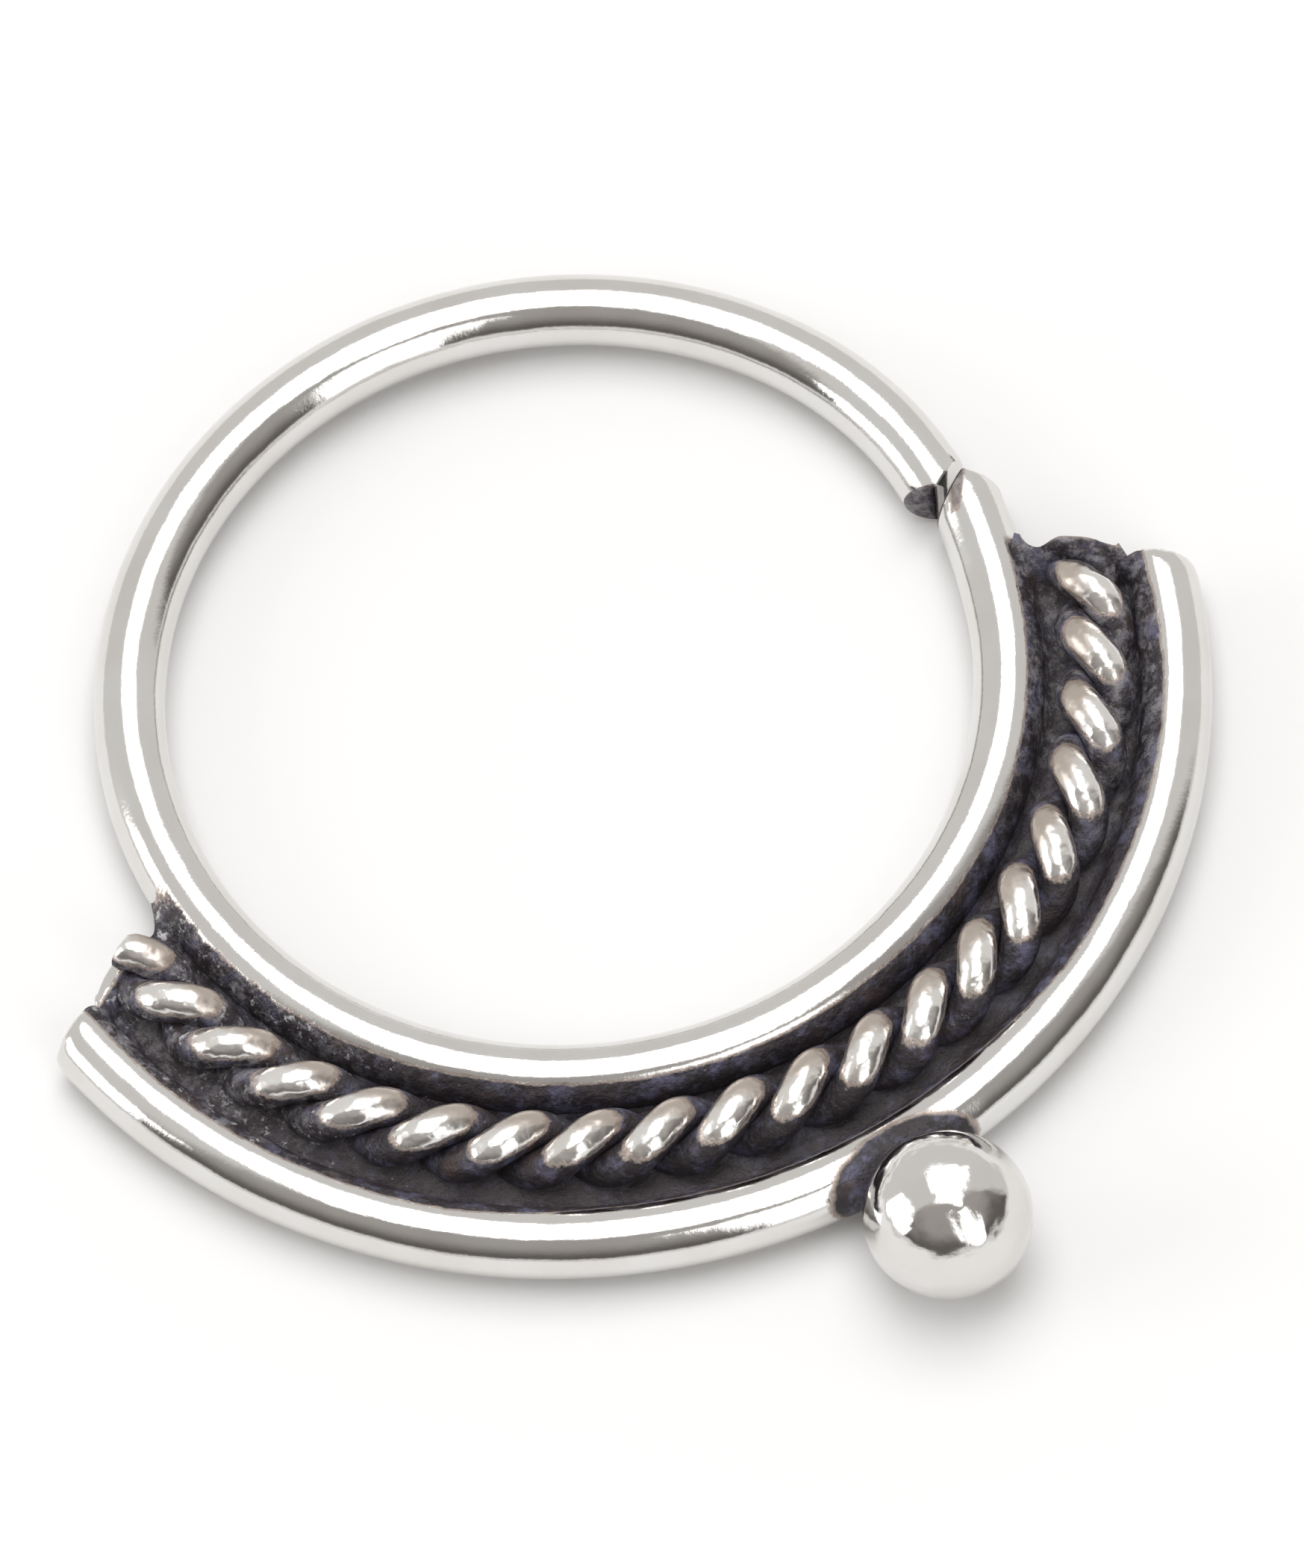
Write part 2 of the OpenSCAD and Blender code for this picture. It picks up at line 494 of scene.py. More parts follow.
class Shader:
    """A material's nodes, and the ring's own measures as values in millimetres and degrees."""

    def __init__(self, owner: Material | World) -> None:
        """Starts the nodes with the object's coordinates, or the sky's directions.

        Args:
            owner: The material or world to fill.
        """
        owner.use_nodes = True
        self.tree = owner.node_tree
        self.tree.nodes.clear()
        spots = self.node("ShaderNodeTexCoord").outputs
        if isinstance(owner, World):
            self.place = spots["Generated"]
        else:
            scaled = self.node(
                "ShaderNodeVectorMath",
                {"operation": "SCALE"},
                {"Vector": spots["Object"], "Scale": 1 / MM},
            )
            self.place = scaled.outputs["Vector"]
        parts = self.node("ShaderNodeSeparateXYZ", {}, {"Vector": self.place}).outputs
        self.x, self.y, self.z = (Value(self, part) for part in parts)

    def node(
        self, kind: str, settings: dict[str, object] | None = None, inputs: dict | None = None
    ) -> Node:
        """Adds a node.

        Args:
            kind: The node's type.
            settings: Its properties, which are set first.
            inputs: A value or a link for each socket, by name or place.

        Returns:
            The node.
        """
        made = self.tree.nodes.new(kind)
        for key, setting in (settings or {}).items():
            setattr(made, key, setting)
        for key, given in (inputs or {}).items():
            source = given.socket if isinstance(given, Value) else given
            if isinstance(source, NodeSocket):
                self.tree.links.new(source, made.inputs[key])
            else:
                made.inputs[key].default_value = source
        return made

    def value(
        self,
        kind: str,
        settings: dict[str, object] | None = None,
        inputs: dict | None = None,
        output: int | str = 0,
    ) -> Value:
        """Adds a node and gives one of its outputs as a value.

        Args:
            kind: The node's type.
            settings: Its properties.
            inputs: A value or a link for each socket.
            output: The output's name or place.

        Returns:
            The output as a value.
        """
        return Value(self, self.node(kind, settings, inputs).outputs[output])

    def grain(
        self, size: float, detail: float = 2.0, roughness: float = 0.5, shift: float = 0.0
    ) -> Value:
        """Noise from -1 to 1 or so.

        Args:
            size: Size of its largest spots, in millimetres.
            detail: How many finer layers it has.
            roughness: How strong the finer layers are.
            shift: Distance by which the pattern is shifted.

        Returns:
            The noise.
        """
        moved = self.node(
            "ShaderNodeVectorMath",
            {"operation": "ADD"},
            {0: self.place, 1: (shift, shift * 0.7, shift * 1.3)},
        )
        made = self.value(
            "ShaderNodeTexNoise",
            {"noise_dimensions": "3D"},
            {
                "Vector": moved.outputs["Vector"],
                "Scale": 1 / size,
                "Detail": detail,
                "Roughness": roughness,
            },
        )
        return made * 2 - 1

    def blend(self, share: Input, first: Input, second: Input) -> NodeSocket:
        """Mixes two colours.

        Args:
            share: 0 for the first colour and 1 for the second.
            first: A colour.
            second: Another colour.

        Returns:
            The mixed colour's socket.
        """
        mixed = self.node(
            "ShaderNodeMix", {"data_type": "RGBA"}, {0: share, 6: first, 7: second}
        )
        return mixed.outputs[2]

    def from_centre(self, centre: Vector) -> tuple[Value, Value]:
        """Distance and bearing from an upright axis.

        Args:
            centre: A point on the axis, in millimetres.

        Returns:
            The distance in millimetres and the bearing in degrees.
        """
        x, y = self.x - centre.x, self.y - centre.y
        return (x * x + y * y) ** 0.5, x.angle(0 - y)

    def distance(self, point: Vector) -> Value:
        """Distance in millimetres from a point."""
        return self.value(
            "ShaderNodeVectorMath",
            {"operation": "DISTANCE"},
            {0: self.place, 1: tuple(point)},
            "Value",
        )

    def surface(self, inputs: dict) -> None:
        """Ends the material's nodes with its surface.

        Args:
            inputs: A value or a link for each of the surface's sockets.
        """
        made = self.node("ShaderNodeBsdfPrincipled", {}, inputs)
        self.node("ShaderNodeOutputMaterial", {}, {"Surface": made.outputs["BSDF"]})


@dataclass(frozen=True)
class Silver:
    """Polished silver: bright, a little warm, with soft spots and fine scratches."""

    light: Colour = (0.76, 0.755, 0.745, 1.0)
    warm: Colour = (0.70, 0.675, 0.65, 1.0)
    roughness: float = 0.10
    roughness_range: float = 0.05
    spot: float = 0.9
    scratch: float = 0.05
    scratch_depth: float = 0.0006
    wave: float = 0.55
    wave_depth: float = 0.006

    def colour(self, shader: Shader) -> NodeSocket:
        """The metal's colour."""
        return shader.blend(shader.grain(self.spot, 3.0).rise(-0.6, 0.8), self.light, self.warm)

    def gloss(self, shader: Shader) -> Value:
        """The metal's roughness."""
        return self.roughness + self.roughness_range * shader.grain(self.spot * 0.4, 4.0, 0.6)

    def relief(self, shader: Shader) -> Value:
        """The surface's height in millimetres."""
        return self.wave_depth * shader.grain(self.wave, 1.5) + self.scratch_depth * shader.grain(
            self.scratch, 3.0, 0.7, 5.0
        )


@dataclass(frozen=True)
class BuffedSilver(Silver):
    """The twisted wire's silver, with a painted reflection: a tan tint on the flank that faces the ring
    wire.
    """

    light: Colour = (0.88, 0.875, 0.865, 1.0)
    warm: Colour = (0.78, 0.74, 0.70, 1.0)
    roughness: float = 0.19
    roughness_range: float = 0.08
    wave: float = 0.2
    wave_depth: float = 0.013
    # Painted reflection: a tan tint standing in for the warm back of the room, seen in the flank that
    # faces the ring wire.
    painted_tan_reflection: Colour = (0.46, 0.385, 0.325, 1.0)
    painted_tan_share: float = 0.75
    painted_tan_roughness: float = 0.2
    painted_tan_reach: Pair = (0.04, -0.16)

    def colour(self, shader: Shader) -> NodeSocket:
        """The metal's colour."""
        # Painted reflection: blends the tan tint over the silver on the flank towards the ring wire.
        return shader.blend(self.painted_tan_amount(shader), super().colour(shader), self.painted_tan_reflection)

    def gloss(self, shader: Shader) -> Value:
        """The metal's roughness."""
        return super().gloss(shader) + self.painted_tan_roughness * self.painted_tan_amount(shader)

    def painted_tan_amount(self, shader: Shader) -> Value:
        """How much of the painted tan reflection is laid on.

        Args:
            shader: The material's shader.

        Returns:
            The share, from 0 to 1.
        """
        radius, _ = shader.from_centre(ORIGIN)
        off = radius - LAYOUT.twist_r + shader.grain(0.12, 3.0, 0.6, 83.0) * 0.12
        return off.rise(*self.painted_tan_reach) * self.painted_tan_share


@dataclass(frozen=True)
class Patina:
    """Blackened silver: near black, mottled blue and brown, pitted, with pale worn specks."""

    dark: Colour = (0.034, 0.028, 0.033, 1.0)
    blue: Colour = (0.125, 0.122, 0.190, 1.0)
    brown: Colour = (0.085, 0.058, 0.052, 1.0)
    dust_and_painted_light: Colour = (0.120, 0.105, 0.112, 1.0)
    worn: Colour = (0.270, 0.255, 0.275, 1.0)
    speck: Colour = (0.50, 0.49, 0.50, 1.0)
    fringe: Colour = (0.38, 0.29, 0.235, 1.0)
    fringe_share: float = 2.6
    dust_and_painted_light_share: float = 0.55
    mottle: float = 0.32
    roughness: float = 0.5
    roughness_range: float = 0.12
    metallic: float = 0.15
    worn_size: float = 0.2
    pit: float = 0.13
    pit_depth: float = 0.022
    speck_size: float = 0.13
    speck_from: float = 0.42

    def colour(self, shader: Shader) -> NodeSocket:
        """The oxide's colour.

        Args:
            shader: The material's shader.

        Returns:
            The colour's socket.
        """
        blue = shader.grain(self.mottle, 4.0, 0.7, 11.0).rise(-0.08, 0.38)
        brown = shader.grain(self.mottle * 1.6, 3.0, 0.6, 23.0).rise(0.0, 0.6)
        mottled = shader.blend(blue, shader.blend(brown, self.dark, self.brown), self.blue)
        # Lighter towards the bottom of the channels: partly dust and polish left in the hollows, partly
        # painted light that lifts the shade there.
        mottled = shader.blend(shader.z.rise(0.1, -0.2) * self.dust_and_painted_light_share, mottled, self.dust_and_painted_light)
        mottled = shader.blend(self.wear(shader), mottled, self.worn)
        return shader.blend(self.specks(shader), mottled, self.speck)

    def wear(self, shader: Shader) -> Value:
        """Where the oxide is thin: in blotches, mostly towards the panel's two ends.

        Args:
            shader: The material's shader.

        Returns:
            1 where it is worn away and 0 where it is whole.
        """
        _, bearing = shader.from_centre(ORIGIN)
        ends = abs(bearing).rise(38.0, 66.0)
        blotches = shader.grain(self.worn_size, 5.0, 0.75, 91.0).rise(-0.1, 0.3)
        return blotches * (0.06 + ends * 0.85)

    def specks(self, shader: Shader) -> Value:
        """Where the oxide is worn or lifted to pale specks, most of them towards the left end.

        Args:
            shader: The material's shader.

        Returns:
            1 on a speck and 0 off it.
        """
        _, bearing = shader.from_centre(ORIGIN)
        left = bearing.rise(-25.0, -60.0)
        return (shader.grain(self.speck_size, 3.0, 0.7, 37.0) + left * 0.26).rise(
            self.speck_from, self.speck_from + 0.2
        )

    def gloss(self, shader: Shader) -> Value:
        """The oxide's roughness."""
        return self.roughness + self.roughness_range * shader.grain(self.mottle, 3.0, 0.6, 3.0)

    def relief(self, shader: Shader) -> Value:
        """The surface's height in millimetres."""
        return self.pit_depth * shader.grain(self.pit, 4.0, 0.65, 7.0)


SILVER = Silver()
TWIST_SILVER = BuffedSilver()
BALL_SILVER = Silver(wave=0.38, wave_depth=0.02)
PATINA = Patina()
Mask = Callable[[Shader], Value]


def silver_with_patina(name: str, oxide: Mask, silver: Silver = SILVER) -> Material:
    """Makes a material that is silver where the mask is 0 and blackened where it is 1.

    Args:
        name: The material's name.
        oxide: Gives the mask.
        silver: The polished finish.

    Returns:
        The material.
    """
    material = bpy.data.materials.new(name)
    shader = Shader(material)
    mask = oxide(shader)
    colour = shader.blend(mask, silver.colour(shader), PATINA.colour(shader))
    relief = silver.relief(shader) * (1 - mask) + PATINA.relief(shader) * mask
    bump = shader.node(
        "ShaderNodeBump", {}, {"Strength": 1.0, "Distance": MM, "Height": relief}
    )
    fringe = mask * (1 - mask) * PATINA.fringe_share
    shader.surface(
        {
            "Base Color": shader.blend(fringe, colour, PATINA.fringe),
            "Metallic": 1 - mask * (1 - PATINA.metallic),
            "Roughness": silver.gloss(shader) * (1 - mask) + PATINA.gloss(shader) * mask,
            "Normal": bump.outputs["Normal"],
        }
    )
    return material


@dataclass(frozen=True)
class ChiselEnd:
    """An end of the loop, cut from both sides to an upright ridge.

    The side is 1 where the wire ends towards higher bearings and -1 where it ends towards lower ones.
    """

    ridge_at: float
    ridge_r: float
    inner_slant: float
    outer_slant: float
    side: int

    @property
    def ridge(self) -> Vector:
        """A point on the ridge."""
        return self.ridge_r * heading(self.ridge_at)

    def inner_normal(self) -> Vector:
        """Normal of the facet that faces the wearing hole."""
        return self.side * UP.cross(heading(self.ridge_at + self.side * self.inner_slant))

    def outer_normal(self) -> Vector:
        """Normal of the facet on the outer side."""
        return self.side * UP.cross(heading(self.ridge_at - self.side * self.outer_slant))


@dataclass
class RingWire:
    """The loop of wire, open at its slit, with one end sprung in and the other standing out."""

    layout: Layout = LAYOUT
    free_end_at: float = 95.2
    free_inner_slant: float = 27.0
    free_outer_slant: float = 30.0
    free_end_in: float = 0.12
    free_bend_arc: float = 33.0
    fixed_end_at: float = 96.0
    fixed_inner_slant: float = 30.0
    fixed_outer_slant: float = 42.0
    fixed_end_out: float = 0.12
    fixed_bend_arc: float = 20.0
    ridge_off: float = 0.06
    past_cut: float = 12.0
    sides: int = 56
    step: float = 1.5
    rim: float = 0.03
    oxide_from: float = 34.0
    oxide_soft: float = 4.0
    oxide_end_at: float = 84.5
    torn_between: Pair = (-50.0, -68.0)
    ragged_by: float = 5.0
    torn_by: float = 14.0
    drift_by: float = 6.0
    facet_oxide: float = 0.025
    # Where the painted dark reflection lies on top of the fixed end.
    reflection_from: float = 91.0
    reflection_to: float = 96.2
    reflection_r: float = 4.78
    reflection_slant: float = 0.044

    @property
    def free_end(self) -> ChiselEnd:
        """The end that is sprung in."""
        radius = self.layout.ring_r - self.free_end_in - self.ridge_off
        return ChiselEnd(
            self.free_end_at, radius, self.free_inner_slant, self.free_outer_slant, -1
        )

    @property
    def fixed_end(self) -> ChiselEnd:
        """The end beside the panel, which stands out."""
        radius = self.layout.ring_r + self.fixed_end_out + self.ridge_off
        return ChiselEnd(
            self.fixed_end_at, radius, self.fixed_inner_slant, self.fixed_outer_slant, 1
        )

    def bend(self, bend_from: float, end_at: float, end_r: float) -> Arc:
        """The arc that leaves the loop's circle smoothly and passes an end's place.

        Args:
            bend_from: Bearing at which it leaves the circle.
            end_at: Bearing of the end.
            end_r: Distance of the end from the ring's centre.

        Returns:
            The arc, with the bearings about its own centre, run on past the end.
        """
        ring_r = self.layout.ring_r
        turn = math.radians(end_at - bend_from)
        shift = (ring_r**2 - end_r**2) / (2 * (ring_r - end_r * math.cos(turn)))
        sweep = math.atan2(end_r * math.sin(turn), end_r * math.cos(turn) - shift)
        past_end = bend_from + math.degrees(sweep) + math.copysign(self.past_cut, sweep)
        return Arc(shift * heading(bend_from), ring_r - shift, bend_from, past_end)

    def arcs(self) -> list[Arc]:
        """The three arcs that the loop is swept along, all towards lower bearings.

        Returns:
            The fixed end's bend, the round loop and the free end's bend.
        """
        ring_r = self.layout.ring_r
        free_from = self.free_end_at + self.free_bend_arc
        fixed_from = self.fixed_end_at - self.fixed_bend_arc
        fixed = self.bend(fixed_from, self.fixed_end_at, ring_r + self.fixed_end_out)
        free = self.bend(free_from, self.free_end_at, ring_r - self.free_end_in)
        return [
            Arc(fixed.centre, fixed.radius, fixed.end, fixed.start),
            Arc(ORIGIN, ring_r, fixed_from, free_from - 360),
            free,
        ]

    def on_facet(self, shader: Shader, end: ChiselEnd) -> Value:
        """Where the surface is an end's inner facet.

        Args:
            shader: The material's shader.
            end: The end.

        Returns:
            1 on the facet and 0 off it.
        """
        normal = end.inner_normal()
        off = shader.x * normal.x + shader.y * normal.y - end.ridge.dot(normal)
        radius, bearing = shader.from_centre(ORIGIN)
        near = abs(bearing - end.ridge_at).rise(14.0, 12.0)
        inside = radius.rise(end.ridge_r + 0.01, end.ridge_r - 0.02)
        return abs(off).rise(self.facet_oxide + 0.015, self.facet_oxide) * near * inside

    def oxide(self, shader: Shader) -> Value:
        """Where the wire's outer flank is blackened along the panel, and the slit's two facets, with
        the painted dark reflection on top of the fixed end.

        Args:
            shader: The material's shader.

        Returns:
            1 where it is blackened or painted dark, and 0 where it is bright.
        """
        radius, bearing = shader.from_centre(ORIGIN)
        out = (radius - self.layout.ring_r).angle(shader.z)
        torn = bearing.rise(*self.torn_between)
        ragged = shader.grain(0.2, 5.0, 0.75) * (self.ragged_by + torn * self.torn_by)
        drift = shader.grain(2.2, 1.0, 0.5, 61.0) * self.drift_by
        flank = (out + ragged + drift - self.oxide_from).rise(-self.oxide_soft, self.oxide_soft)
        along = (abs(bearing) + ragged * 0.2).rise(self.oxide_end_at + 1.0, self.oxide_end_at - 1.0)
        facets = self.on_facet(shader, self.free_end).most(self.on_facet(shader, self.fixed_end))
        # Joins the painted dark reflection strip on the fixed end's top to the oxide mask.
        return (flank * along).most(facets).most(self.painted_reflection_strip(shader))

    def painted_reflection_strip(self, shader: Shader) -> Value:
        """The painted dark reflection on top of the fixed end: a brown-black strip, narrower towards
        the panel.

        Args:
            shader: The material's shader.

        Returns:
            How dark the painted reflection is, from 0 to 1.
        """
        radius, bearing = shader.from_centre(ORIGIN)
        reach = bearing - self.reflection_from
        off = abs(radius - self.reflection_r - reach * self.reflection_slant)
        width = 0.05 + reach * 0.014 + shader.grain(0.15, 3.0) * 0.01
        inside = (off - width).rise(0.025, -0.025) * shader.z.rise(0.0, 0.1)
        ends = reach.rise(-0.6, 0.8) * bearing.rise(self.reflection_to + 0.3, self.reflection_to - 0.2)
        return inside * ends * 0.9

    def build(self) -> Object:
        """Builds and dresses the loop.

        Returns:
            The finished piece.
        """
        piece = Piece("ring_wire")
        fixed_bend, loop, free_bend = self.arcs()
        first = fixed_bend.section(fixed_bend.start)
        edges = piece.ring(self.layout.ring_wire_r, self.sides, first)
        edges = piece.spin(edges, fixed_bend, self.step)
        for normal in (self.fixed_end.inner_normal(), self.fixed_end.outer_normal()):
            piece.cut(self.fixed_end.ridge, normal)
        edges = piece.spin(edges, loop, self.step)
        settled = set(piece.bm.faces)
        piece.spin(edges, free_bend, self.step)
        for normal in (self.free_end.inner_normal(), self.free_end.outer_normal()):
            bend = [face for face in piece.bm.faces if face not in settled]
            piece.cut(self.free_end.ridge, normal, bend)
        piece.break_edges(self.rim)
        piece.roughen(0.004, 1.3, Vector((3, 1, 4)))
        return piece.finish(silver_with_patina("ring_wire_silver", self.oxide), Slot.SILVER)


@dataclass
class OuterWire:
    """The round wire along the panel's outer edge, cut slantwise at both ends."""

    layout: Layout = LAYOUT
    past_cut: float = 12.0
    sides: int = 56
    step: float = 0.6
    rim: float = 0.15
    oxide_from: float = 41.0
    oxide_soft: float = 4.0
    oxide_drop: float = 20.0
    drop_between: Pair = (18.0, 36.0)
    ragged_by: float = 6.0
    drift_by: float = 8.0
    saddle_reach: float = 1.36
    saddle_soft: float = 0.05

    def oxide(self, shader: Shader) -> Value:
        """Where the wire's inner flank and its saddle round the ball are blackened.

        Args:
            shader: The material's shader.

        Returns:
            1 where it is blackened and 0 where it is bright.
        """
        radius, bearing = shader.from_centre(self.layout.outer_centre)
        inward = (self.layout.outer_r - radius).angle(shader.z)
        ragged = shader.grain(0.25, 4.0, 0.7, 17.0)
        drift = shader.grain(2.4, 1.0, 0.5, 71.0) * self.drift_by
        start = self.oxide_from - self.oxide_drop * abs(bearing).rise(*self.drop_between)
        flank = inward + ragged * self.ragged_by + drift - start
        reach = shader.distance(self.layout.ball_centre) + ragged * 0.06 - self.saddle_reach
        saddle = reach.rise(self.saddle_soft, -self.saddle_soft)
        return flank.rise(-self.oxide_soft, self.oxide_soft).most(saddle)

    def build(self) -> Object:
        """Builds and dresses the wire.

        Returns:
            The finished piece.
        """
        piece = Piece("outer_wire")
        start = -self.layout.panel_far_end_at - self.past_cut
        end = self.layout.panel_end_at + self.past_cut
        arc = Arc(self.layout.outer_centre, self.layout.outer_r, start, end)
        edges = piece.ring(self.layout.outer_wire_r, self.sides, arc.section(arc.start))
        piece.spin(edges, arc, self.step)
        for side in (-1, 1):
            for cap in piece.cut(*self.layout.end_cut(side)):
                piece.round_end(cap, self.rim, 2)
        piece.roughen(0.006, 1.1, Vector((7, 2, 9)))
        return piece.finish(silver_with_patina("outer_wire_silver", self.oxide), Slot.SILVER)


@dataclass
class BackPlate:
    """The crescent plate between the wires, with solder run up against everything it carries.

    A pair is for the left and the right end, but the lip's widths are for its inner and outer side.
    """

    layout: Layout = LAYOUT
    lap: float = 0.2
    along: int = 360
    across: int = 44
    notch: Pair = (0.35, 0.22)
    outer_notch: float = 0.05
    fillet: float = 0.2
    bed_rise: float = 0.12
    bed_width: float = 0.36
    pool_rise: Pair = (0.14, 0.36)
    pool_reach: float = 0.55
    lip_rise: Pair = (0.26, 0.36)
    lip_reach: float = 0.34
    lip_off: float = -0.15
    lip_width: Pair = (0.25, 1.0)
    swell: Pair = (0.15, 0.0)
    swell_off: float = 0.3
    swell_width: float = 0.42
    relief: float = 0.022
    relief_grain: float = 0.22
    web_top: float = 0.34

    def outer_edge(self, bearing: float, radius: float) -> float:
        """Distance from the ring's centre to a circle round the outer wire's centre.

        Args:
            bearing: Bearing at the ring's centre.
            radius: The circle's radius.

        Returns:
            The distance.
        """
        centre = self.layout.outer_centre
        toward = heading(bearing).dot(centre)
        return toward + math.sqrt(toward**2 - centre.length_squared + radius**2)

    def web(self, gap: float, size: float) -> float:
        """How far a concave fillet stands out at a distance from the wall that it runs up to."""
        inside = min(max(size - gap, 0.0), size)
        return size - math.sqrt(size**2 - inside**2) + min(gap, 0.0) * 2

    def pool(self, point: Vector) -> float:
        """Height of the solder that has gathered at the panel's ends.

        Args:
            point: A point of the plate's upper face.

        Returns:
            The height, with the lip that the solder leaves where the twisted wire is cut off.
        """
        back = self.back_from_end(point)
        off_crest = Vector((point.x, point.y)).length - self.layout.twist_r - self.lip_off
        lip = self.lip_rise[point.x > 0] * self.fade(back / self.lip_reach)
        lip *= math.exp(-((off_crest / self.lip_width[off_crest > 0]) ** 2))
        return lip + self.pool_rise[point.x > 0] * self.fade(back / self.pool_reach)

    def back_from_end(self, point: Vector) -> float:
        """Distance of a point from the nearer of the panel's two end cuts."""
        at, normal = self.layout.end_cut(1 if point.x > 0 else -1)
        return normal.dot(at - point)

    def fade(self, share: float) -> float:
        """Smooth step down from 1 at 0 to 0 at 1."""
        inside = min(max(share, 0.0), 1.0)
        return 1 - inside * inside * (3 - 2 * inside)

    def end_bearing(self, side: int, radius: float, outer_flank: float) -> float:
        """Bearing of a plate's end at a radius, with the solder webs in its two corners.

        Args:
            side: 1 for the slit's side, -1 for the other.
            radius: Distance from the ring's centre.
            outer_flank: Distance of the outer wire's inner flank from the ring's centre.

        Returns:
            The bearing, in degrees.
        """
        lay = self.layout
        slant = math.radians(lay.panel_end_slant)
        cut = math.asin(lay.twist_r * math.sin(slant) / radius)
        web = self.web(radius - lay.ring_r - lay.ring_wire_r, self.notch[side > 0])
        web += self.web(outer_flank - radius, self.outer_notch)
        off_swell = (radius - lay.twist_r - self.swell_off) / self.swell_width
        web += self.swell[side > 0] * math.exp(-(off_swell**2))
        return lay.end_at(side) - lay.panel_end_slant + math.degrees(cut + web / radius)

    def lay_out(self, vert: BMVert) -> None:
        """Moves a point of the unit grid to its place on the crescent.

        Args:
            vert: The grid's point, from -1 to 1 along and across.
        """
        lay = self.layout
        side = 1 if vert.co.x > 0 else -1
        share = (vert.co.y + 1) / 2
        bearing = vert.co.x * lay.end_at(side)
        for _ in range(3):
            inner = lay.ring_r + lay.ring_wire_r - self.lap
            flank_r = lay.outer_r - lay.outer_wire_r
            outer = self.outer_edge(bearing, flank_r + self.lap)
            radius = inner + share * (outer - inner)
            flank = self.outer_edge(bearing, flank_r)
            bearing = vert.co.x * self.end_bearing(side, radius, flank)
        vert.co = radius * heading(bearing) + lay.plate_top_z * UP

    def top_height(self, point: Vector) -> float:
        """Height of the solder and the pitted surface over the plate's flat upper face.

        Args:
            point: A point of the flat upper face.

        Returns:
            The height.
        """
        lay = self.layout
        radius = Vector((point.x, point.y)).length
        outer = (Vector((point.x, point.y, 0)) - lay.outer_centre).length
        inner_gap = radius - lay.ring_r - lay.ring_wire_r
        outer_gap = lay.outer_r - lay.outer_wire_r - outer
        off_middle = (radius - lay.twist_r) / self.bed_width
        height = self.web(max(inner_gap, 0.0), self.fillet)
        inland = 1 - self.fade(self.back_from_end(point) / self.lip_reach)
        height += self.web(max(outer_gap, 0.0), self.fillet) * inland
        height += self.bed_rise * math.exp(-(off_middle**2)) + self.pool(point)
        return height + self.relief * noise.noise(point / self.relief_grain)

    def oxide(self, shader: Shader) -> Value:
        """The whole plate is blackened but for its filed end faces.

        Args:
            shader: The material's shader.

        Returns:
            1 where it is blackened and 0 where it is bright.
        """
        past = []
        for side in (-1, 1):
            point, normal = self.layout.end_cut(side)
            past.append(shader.x * normal.x + shader.y * normal.y - point.dot(normal))
        radius, _ = shader.from_centre(ORIGIN)
        flank_r = self.layout.ring_r + self.layout.ring_wire_r
        end = past[0].most(past[1]) - self.web_top * radius.rise(flank_r + 0.3, flank_r)
        return (end + shader.grain(0.2, 3.0) * 0.03).rise(0.0, -0.07)

    def build(self) -> Object:
        """Builds and dresses the plate.

        Returns:
            The finished piece.
        """
        piece = Piece("back_plate")
        bm = piece.bm
        bmesh.ops.create_grid(bm, x_segments=self.along, y_segments=self.across, size=1)
        for vert in bm.verts:
            self.lay_out(vert)
        flat = list(bm.faces)
        wall = bmesh.ops.extrude_face_region(bm, geom=flat)["geom"]
        under = [item for item in wall if isinstance(item, BMVert)]
        bmesh.ops.translate(bm, vec=-self.layout.plate_t * UP, verts=under)
        top = {vert for vert in bm.verts if vert.co.z > self.layout.plate_top_z - 1e-4}
        for vert in top:
            vert.co.z += self.top_height(vert.co)
        bmesh.ops.recalc_face_normals(bm, faces=bm.faces)
        rims = [edge for edge in bm.edges if edge.calc_face_angle(0) > 1.0]
        piece.smooth({vert for edge in rims for vert in edge.verts}, 3)
        return piece.finish(silver_with_patina("plate_oxide", self.oxide), Slot.OXIDISED)


